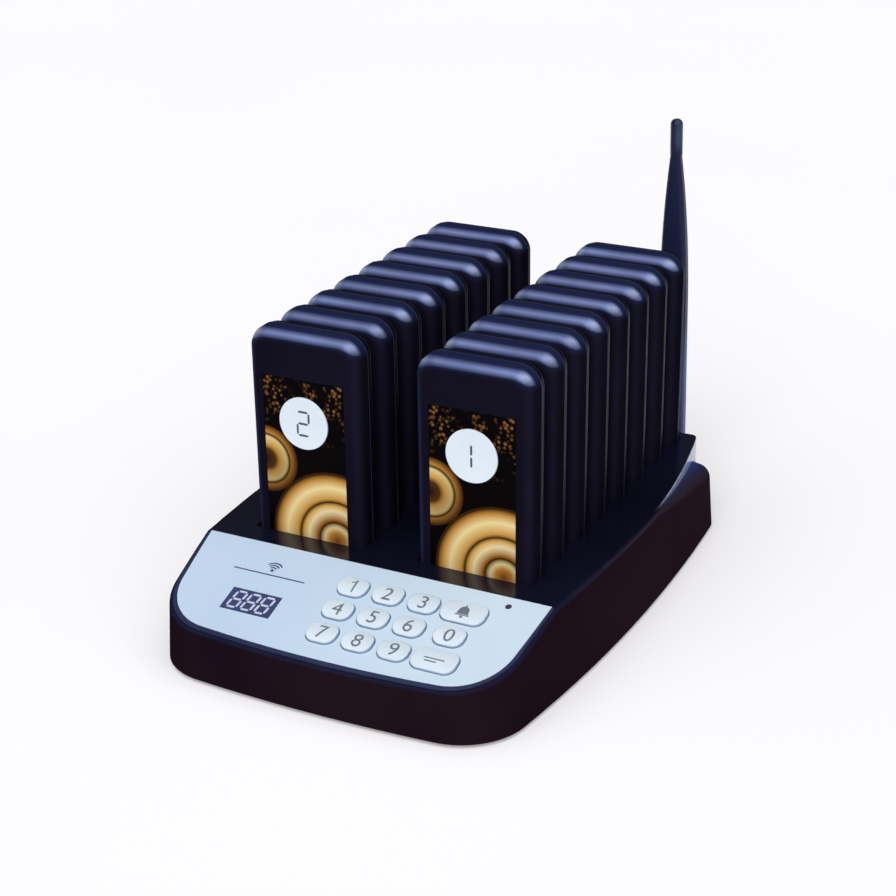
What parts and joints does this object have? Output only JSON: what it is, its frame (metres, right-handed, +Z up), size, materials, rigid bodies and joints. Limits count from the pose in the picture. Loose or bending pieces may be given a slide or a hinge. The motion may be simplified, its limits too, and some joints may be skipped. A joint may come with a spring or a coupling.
{
  "type": "guest pager system",
  "caption": "Counter-top guest paging base with a sloped keypad, a display and an antenna, holding rows of upright plug-in pagers in charging slots.",
  "frame": {"origin": "on the table under the middle of the object's length and width", "axes": "+X to the right of a person at the keypad, +Y from the keypad to the rear wall with the antenna, +Z up"},
  "size_m": [0.1764, 0.2576, 0.187],
  "materials": {
    "case": "high gloss, nearly black with a blue-violet tint",
    "floor": "fine matt grain",
    "rubber": "matt",
    "steel": "zinc plated",
    "panel": "printed film, satin",
    "display": "tinted window, clear gloss",
    "module": "matt",
    "lamp": "clear lens",
    "mat": "matt silicone",
    "board": "solder resist",
    "keys": "pearl, satin gloss",
    "contacts": "gold plated",
    "jack": "matt",
    "connector": "plated",
    "antenna": "soft matt",
    "pager_shell": "high gloss",
    "pager_back": "high gloss"
  },
  "bodies": {
    "base": {"top_housing": "case", "bottom_housing": "floor", "rubber_feet": "rubber", "case_screws": "steel", "face_panel": "panel", "display_window": "display", "display_module": "module", "status_led": "lamp", "main_board": "board", "charging_board": "board", "charging_contacts": "contacts", "dc_jack": "jack", "antenna_socket": "connector", "key_mat": "mat"},
    "antenna_elbow": {"antenna_knuckle": "antenna"},
    "antenna": {"antenna_blade": "antenna"},
    "key_1_body": {"key_1": "keys"},
    "key_2_body": {"key_2": "keys"},
    "key_3_body": {"key_3": "keys"},
    "key_call_body": {"key_call": "keys"},
    "key_4_body": {"key_4": "keys"},
    "key_5_body": {"key_5": "keys"},
    "key_6_body": {"key_6": "keys"},
    "key_0_body": {"key_0": "keys"},
    "key_7_body": {"key_7": "keys"},
    "key_8_body": {"key_8": "keys"},
    "key_9_body": {"key_9": "keys"},
    "key_clear_body": {"key_clear": "keys"},
    "pager_01": {"pager_01_front": "pager_shell", "pager_01_back": "pager_back"},
    "pager_02": {"pager_02_front": "pager_shell", "pager_02_back": "pager_back"},
    "pager_03": {"pager_03_front": "pager_shell", "pager_03_back": "pager_back"},
    "pager_04": {"pager_04_front": "pager_shell", "pager_04_back": "pager_back"},
    "pager_05": {"pager_05_front": "pager_shell", "pager_05_back": "pager_back"},
    "pager_06": {"pager_06_front": "pager_shell", "pager_06_back": "pager_back"},
    "pager_07": {"pager_07_front": "pager_shell", "pager_07_back": "pager_back"},
    "pager_08": {"pager_08_front": "pager_shell", "pager_08_back": "pager_back"},
    "pager_09": {"pager_09_front": "pager_shell", "pager_09_back": "pager_back"},
    "pager_10": {"pager_10_front": "pager_shell", "pager_10_back": "pager_back"},
    "pager_11": {"pager_11_front": "pager_shell", "pager_11_back": "pager_back"},
    "pager_12": {"pager_12_front": "pager_shell", "pager_12_back": "pager_back"},
    "pager_13": {"pager_13_front": "pager_shell", "pager_13_back": "pager_back"},
    "pager_14": {"pager_14_front": "pager_shell", "pager_14_back": "pager_back"},
    "pager_15": {"pager_15_front": "pager_shell", "pager_15_back": "pager_back"},
    "pager_16": {"pager_16_front": "pager_shell", "pager_16_back": "pager_back"}
  },
  "joints": [
    {"name": "antenna_swivel", "type": "hinge", "parent": "base", "child": "antenna_elbow", "pos_m": [0.0539, 0.11745, 0.018], "axis": [0, 1, 0], "range_deg": [-88.9, 91.1]},
    {"name": "antenna_fold", "type": "hinge", "parent": "antenna_elbow", "child": "antenna", "pos_m": [0.05369, 0.12405, 0.029], "axis": [-0.9998, 0, -0.0192], "range_deg": [0, 90]},
    {"name": "key_1_press", "type": "slide", "parent": "base", "child": "key_1_body", "axis": [0, 0.3123, -0.95], "range_m": [0, 0.0012], "stiffness_N_per_m": 500},
    {"name": "key_2_press", "type": "slide", "parent": "base", "child": "key_2_body", "axis": [0, 0.3123, -0.95], "range_m": [0, 0.0012], "stiffness_N_per_m": 500},
    {"name": "key_3_press", "type": "slide", "parent": "base", "child": "key_3_body", "axis": [0, 0.3123, -0.95], "range_m": [0, 0.0012], "stiffness_N_per_m": 500},
    {"name": "key_call_press", "type": "slide", "parent": "base", "child": "key_call_body", "axis": [0, 0.3123, -0.95], "range_m": [0, 0.0012], "stiffness_N_per_m": 500},
    {"name": "key_4_press", "type": "slide", "parent": "base", "child": "key_4_body", "axis": [0, 0.3123, -0.95], "range_m": [0, 0.0012], "stiffness_N_per_m": 500},
    {"name": "key_5_press", "type": "slide", "parent": "base", "child": "key_5_body", "axis": [0, 0.3123, -0.95], "range_m": [0, 0.0012], "stiffness_N_per_m": 500},
    {"name": "key_6_press", "type": "slide", "parent": "base", "child": "key_6_body", "axis": [0, 0.3123, -0.95], "range_m": [0, 0.0012], "stiffness_N_per_m": 500},
    {"name": "key_0_press", "type": "slide", "parent": "base", "child": "key_0_body", "axis": [0, 0.3123, -0.95], "range_m": [0, 0.0012], "stiffness_N_per_m": 500},
    {"name": "key_7_press", "type": "slide", "parent": "base", "child": "key_7_body", "axis": [0, 0.3123, -0.95], "range_m": [0, 0.0012], "stiffness_N_per_m": 500},
    {"name": "key_8_press", "type": "slide", "parent": "base", "child": "key_8_body", "axis": [0, 0.3123, -0.95], "range_m": [0, 0.0012], "stiffness_N_per_m": 500},
    {"name": "key_9_press", "type": "slide", "parent": "base", "child": "key_9_body", "axis": [0, 0.3123, -0.95], "range_m": [0, 0.0012], "stiffness_N_per_m": 500},
    {"name": "key_clear_press", "type": "slide", "parent": "base", "child": "key_clear_body", "axis": [0, 0.3123, -0.95], "range_m": [0, 0.0012], "stiffness_N_per_m": 500},
    {"name": "pager_01_lift", "type": "slide", "parent": "base", "child": "pager_01", "axis": [0, 0, 1], "range_m": [0, 0.02]},
    {"name": "pager_02_lift", "type": "slide", "parent": "base", "child": "pager_02", "axis": [0, 0, 1], "range_m": [0, 0.02]},
    {"name": "pager_03_lift", "type": "slide", "parent": "base", "child": "pager_03", "axis": [0, 0, 1], "range_m": [0, 0.02]},
    {"name": "pager_04_lift", "type": "slide", "parent": "base", "child": "pager_04", "axis": [0, 0, 1], "range_m": [0, 0.02]},
    {"name": "pager_05_lift", "type": "slide", "parent": "base", "child": "pager_05", "axis": [0, 0, 1], "range_m": [0, 0.02]},
    {"name": "pager_06_lift", "type": "slide", "parent": "base", "child": "pager_06", "axis": [0, 0, 1], "range_m": [0, 0.02]},
    {"name": "pager_07_lift", "type": "slide", "parent": "base", "child": "pager_07", "axis": [0, 0, 1], "range_m": [0, 0.02]},
    {"name": "pager_08_lift", "type": "slide", "parent": "base", "child": "pager_08", "axis": [0, 0, 1], "range_m": [0, 0.02]},
    {"name": "pager_09_lift", "type": "slide", "parent": "base", "child": "pager_09", "axis": [0, 0, 1], "range_m": [0, 0.02]},
    {"name": "pager_10_lift", "type": "slide", "parent": "base", "child": "pager_10", "axis": [0, 0, 1], "range_m": [0, 0.02]},
    {"name": "pager_11_lift", "type": "slide", "parent": "base", "child": "pager_11", "axis": [0, 0, 1], "range_m": [0, 0.02]},
    {"name": "pager_12_lift", "type": "slide", "parent": "base", "child": "pager_12", "axis": [0, 0, 1], "range_m": [0, 0.02]},
    {"name": "pager_13_lift", "type": "slide", "parent": "base", "child": "pager_13", "axis": [0, 0, 1], "range_m": [0, 0.02]},
    {"name": "pager_14_lift", "type": "slide", "parent": "base", "child": "pager_14", "axis": [0, 0, 1], "range_m": [0, 0.02]},
    {"name": "pager_15_lift", "type": "slide", "parent": "base", "child": "pager_15", "axis": [0, 0, 1], "range_m": [0, 0.02]},
    {"name": "pager_16_lift", "type": "slide", "parent": "base", "child": "pager_16", "axis": [0, 0, 1], "range_m": [0, 0.02]}
  ]
}
